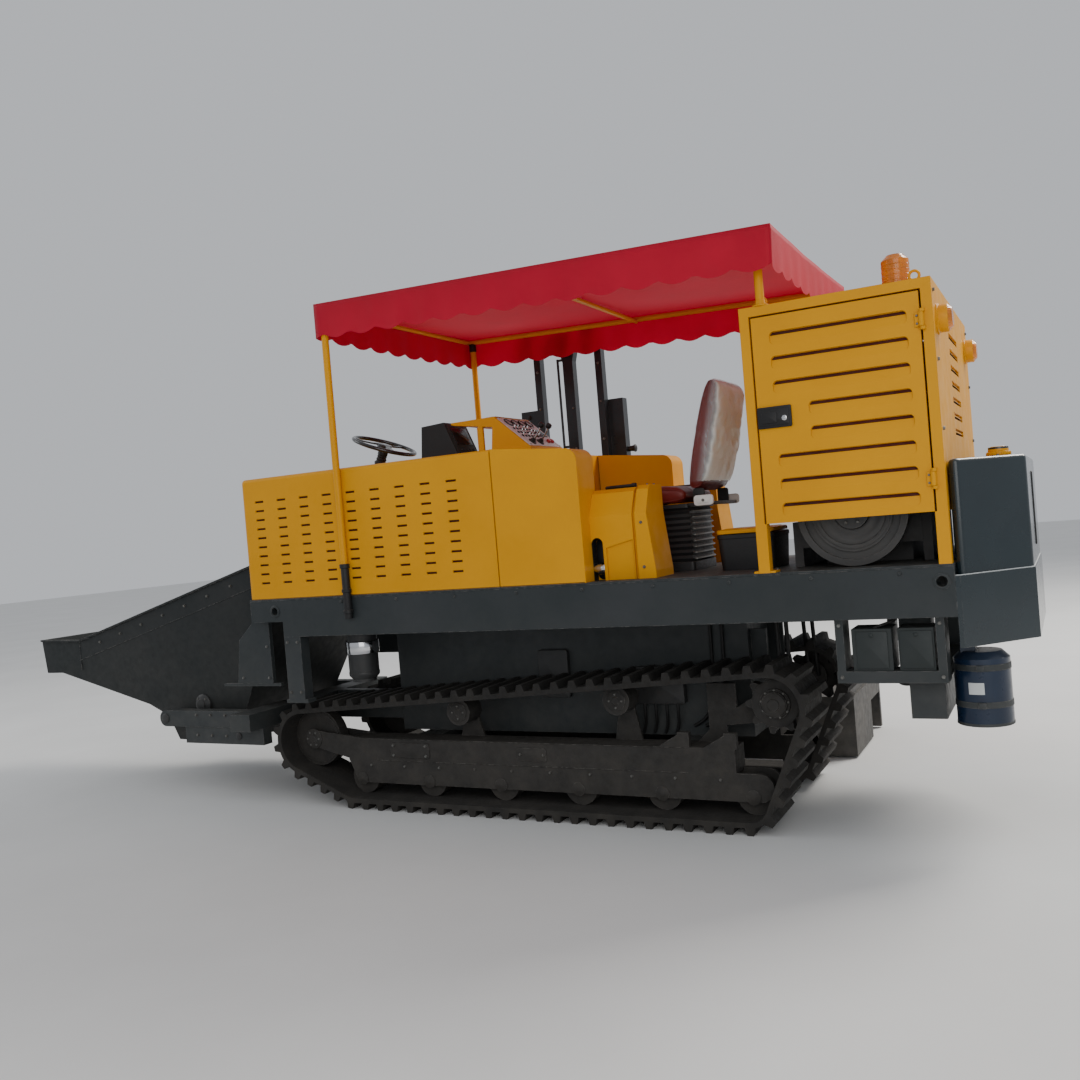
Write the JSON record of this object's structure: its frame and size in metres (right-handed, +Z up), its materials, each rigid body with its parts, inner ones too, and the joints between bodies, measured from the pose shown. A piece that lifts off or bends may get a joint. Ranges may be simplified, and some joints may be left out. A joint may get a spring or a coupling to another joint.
{
  "type": "slipform paver",
  "caption": "Offset slipform kerb paver on two rubber tracks, with a front hopper, hooded power unit, operator seat under a cloth canopy and a side mould.",
  "frame": {"origin": "on the ground, at the middle of the bounding box", "axes": "+X forwards to the hopper, +Y to the left (the operator's left), +Z up"},
  "size_m": [6.199, 2.602, 2.785],
  "materials": {
    "yellow": "gloss enamel, faded",
    "frame_grey": "satin dark grey",
    "belt_rubber": "dusty matt",
    "undercarriage": "dusty painted castings",
    "hopper_grey": "worn satin",
    "auger_steel": "worn bright",
    "console_grey": "satin",
    "black_plastic": "matt",
    "wheel_rim": "grey grip",
    "seat_vinyl": "red-brown vinyl",
    "engine_iron": "oily",
    "amber": "clear amber lens",
    "tank_blue": "gloss blue grey",
    "canister_blue": "gloss blue",
    "canopy_red": "coated cloth",
    "tube_yellow": "satin",
    "mould_steel": "worn dark steel",
    "mast_black": "satin black",
    "cylinder_steel": "satin"
  },
  "bodies": {
    "chassis": {"track_left": "belt_rubber", "track_right": "belt_rubber", "track_frame_left": "undercarriage", "track_frame_right": "undercarriage", "sprockets": "undercarriage", "track_rollers": "undercarriage", "side_beams": "frame_grey", "cross_members": "frame_grey", "deck_plate": "frame_grey", "belly_body": "frame_grey", "front_supports": "frame_grey", "front_cylinders": "cylinder_steel", "front_subframe": "frame_grey", "hopper": "hopper_grey", "hood_front": "yellow", "hood_rear": "yellow", "cowls": "yellow", "console": "yellow", "gauge_box": "black_plastic", "steering_column": "console_grey", "seat_base": "black_plastic", "seat_cushion": "seat_vinyl", "seat_back": "seat_vinyl", "battery_box": "black_plastic", "power_housing": "yellow", "engine_block": "engine_iron", "flywheel": "engine_iron", "beacon": "amber", "rear_lamps": "amber", "tank_lower": "tank_blue", "tank_upper": "tank_blue", "rear_underframe": "frame_grey", "service_boxes": "console_grey", "canister": "canister_blue", "canopy_posts": "tube_yellow", "canopy": "canopy_red", "mast": "mast_black"},
    "left_door": {"door_left": "yellow"},
    "right_door": {"door_right": "yellow"},
    "wheel": {"steering_wheel": "wheel_rim"},
    "box_lid": {"battery_lid": "yellow"},
    "feed_shaft": {"feed_auger": "auger_steel"},
    "mould_unit": {"mould_carriage": "mould_steel", "kerb_mould": "mould_steel"}
  },
  "joints": [
    {"name": "left_door_hinge", "type": "hinge", "parent": "chassis", "child": "left_door", "pos_m": [-2.7655, 1.263, 1.86], "axis": [0, 0, 1], "range_deg": [0, 110]},
    {"name": "right_door_hinge", "type": "hinge", "parent": "chassis", "child": "right_door", "pos_m": [-2.7655, -0.265, 1.86], "axis": [0, 0, -1], "range_deg": [0, 110]},
    {"name": "wheel_turn", "type": "hinge", "parent": "chassis", "child": "wheel", "pos_m": [0.3945, 0.569, 2.06], "axis": [-0.3746, 0, 0.9272], "continuous": true},
    {"name": "lid_hinge", "type": "hinge", "parent": "chassis", "child": "box_lid", "pos_m": [-1.8775, 0.609, 1.391], "axis": [1, 0, 0], "range_deg": [0, 100]},
    {"name": "feed_shaft_turn", "type": "hinge", "parent": "chassis", "child": "feed_shaft", "pos_m": [1.6745, 0.499, 0.56], "axis": [0, 1, 0], "continuous": true},
    {"name": "mould_lift", "type": "slide", "parent": "chassis", "child": "mould_unit", "axis": [0, 0, 1], "range_m": [0, 0.25]}
  ]
}
